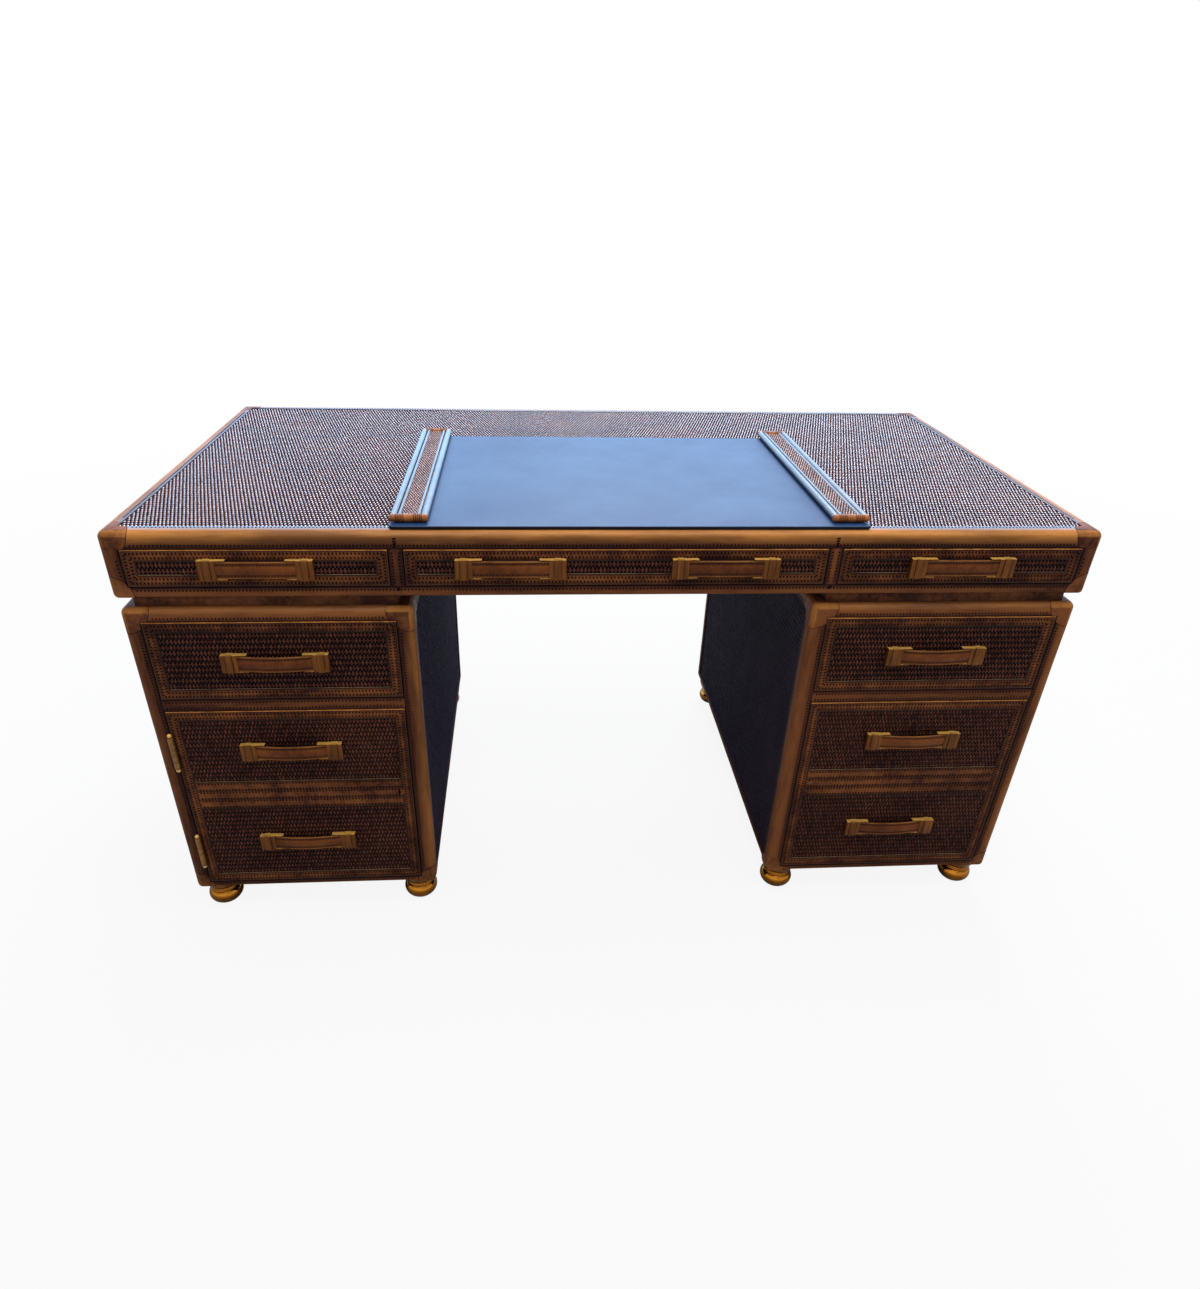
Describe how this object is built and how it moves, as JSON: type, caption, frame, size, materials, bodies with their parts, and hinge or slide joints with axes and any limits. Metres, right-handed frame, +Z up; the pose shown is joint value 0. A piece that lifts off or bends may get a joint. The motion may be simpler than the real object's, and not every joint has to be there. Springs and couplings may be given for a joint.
{
  "type": "pedestal desk",
  "caption": "Trunk-style pedestal writing desk in woven rattan and stitched leather: shallow and deep drawers, a cabinet door, bun feet and a loose desk pad.",
  "frame": {"origin": "on the floor, under the centre of the box round the whole desk with its handles", "axes": "+Z up; the sitter's side with the drawer fronts faces -Y; +X is to the right seen from the front"},
  "size_m": [1.524, 0.76, 0.7853],
  "materials": {
    "leather": "waxed saddle-brown leather with dark whip stitching and darkened edges",
    "rattan": "fine woven rattan, stained dark brown, satin",
    "wood": "plain stained hardwood and plywood inside",
    "brass": "antiqued brass, polished on the feet",
    "pad_leather": "smooth black leather, semi-gloss"
  },
  "bodies": {
    "carcass": {"top_board": "wood", "woven_top": "rattan", "top_mouldings": "leather", "top_frame": "leather", "top_side_panels": "rattan", "top_back_panel": "rattan", "drawer_dividers": "leather", "dust_board": "wood", "drawer_guides": "wood", "plinths": "leather", "pedestal_posts": "leather", "pedestal_front_rails": "leather", "pedestal_edge_rails": "leather", "pedestal_side_panels": "rattan", "pedestal_back_panels": "rattan", "pedestal_boards": "wood", "cabinet_shelf": "wood", "shelf_pins": "brass", "bun_feet": "brass", "hinge_frame_leaves": "brass", "hinge_pins": "brass"},
    "door": {"door_panel": "leather", "door_weaves": "rattan", "door_brackets": "brass", "door_straps": "leather", "hinge_door_leaves": "brass", "door_lock": "brass"},
    "left_shallow_drawer": {"left_shallow_front": "leather", "left_shallow_weave": "rattan", "left_shallow_box": "wood", "left_shallow_brackets": "brass", "left_shallow_strap": "leather"},
    "wide_shallow_drawer": {"wide_shallow_front": "leather", "wide_shallow_weave": "rattan", "wide_shallow_box": "wood", "wide_shallow_brackets": "brass", "wide_shallow_straps": "leather"},
    "right_shallow_drawer": {"right_shallow_front": "leather", "right_shallow_weave": "rattan", "right_shallow_box": "wood", "right_shallow_brackets": "brass", "right_shallow_strap": "leather"},
    "left_upper_drawer": {"left_upper_front": "leather", "left_upper_weave": "rattan", "left_upper_box": "wood", "left_upper_brackets": "brass", "left_upper_strap": "leather"},
    "right_upper_drawer": {"right_upper_front": "leather", "right_upper_weave": "rattan", "right_upper_box": "wood", "right_upper_brackets": "brass", "right_upper_strap": "leather"},
    "deep_drawer": {"deep_drawer_front": "leather", "deep_drawer_weaves": "rattan", "deep_drawer_box": "wood", "deep_drawer_brackets": "brass", "deep_drawer_straps": "leather"},
    "pad": {"desk_pad": "pad_leather", "pad_rails": "leather", "pad_rail_weaves": "rattan"}
  },
  "joints": [
    {"name": "left_shallow_drawer_slide", "type": "slide", "parent": "carcass", "child": "left_shallow_drawer", "axis": [0, -1, 0], "range_m": [0, 0.4]},
    {"name": "wide_shallow_drawer_slide", "type": "slide", "parent": "carcass", "child": "wide_shallow_drawer", "axis": [0, -1, 0], "range_m": [0, 0.4]},
    {"name": "right_shallow_drawer_slide", "type": "slide", "parent": "carcass", "child": "right_shallow_drawer", "axis": [0, -1, 0], "range_m": [0, 0.4]},
    {"name": "left_upper_drawer_slide", "type": "slide", "parent": "carcass", "child": "left_upper_drawer", "axis": [0, -1, 0], "range_m": [0, 0.48]},
    {"name": "right_upper_drawer_slide", "type": "slide", "parent": "carcass", "child": "right_upper_drawer", "axis": [0, -1, 0], "range_m": [0, 0.48]},
    {"name": "deep_drawer_slide", "type": "slide", "parent": "carcass", "child": "deep_drawer", "axis": [0, -1, 0], "range_m": [0, 0.48]},
    {"name": "door_hinge", "type": "hinge", "parent": "carcass", "child": "door", "pos_m": [-0.73425, -0.3689, 0.2615], "axis": [0, 0, -1], "range_deg": [0, 105]},
    {"name": "pad_lift", "type": "slide", "parent": "carcass", "child": "pad", "axis": [0, 0, 1], "range_m": [0, 0.15]}
  ]
}
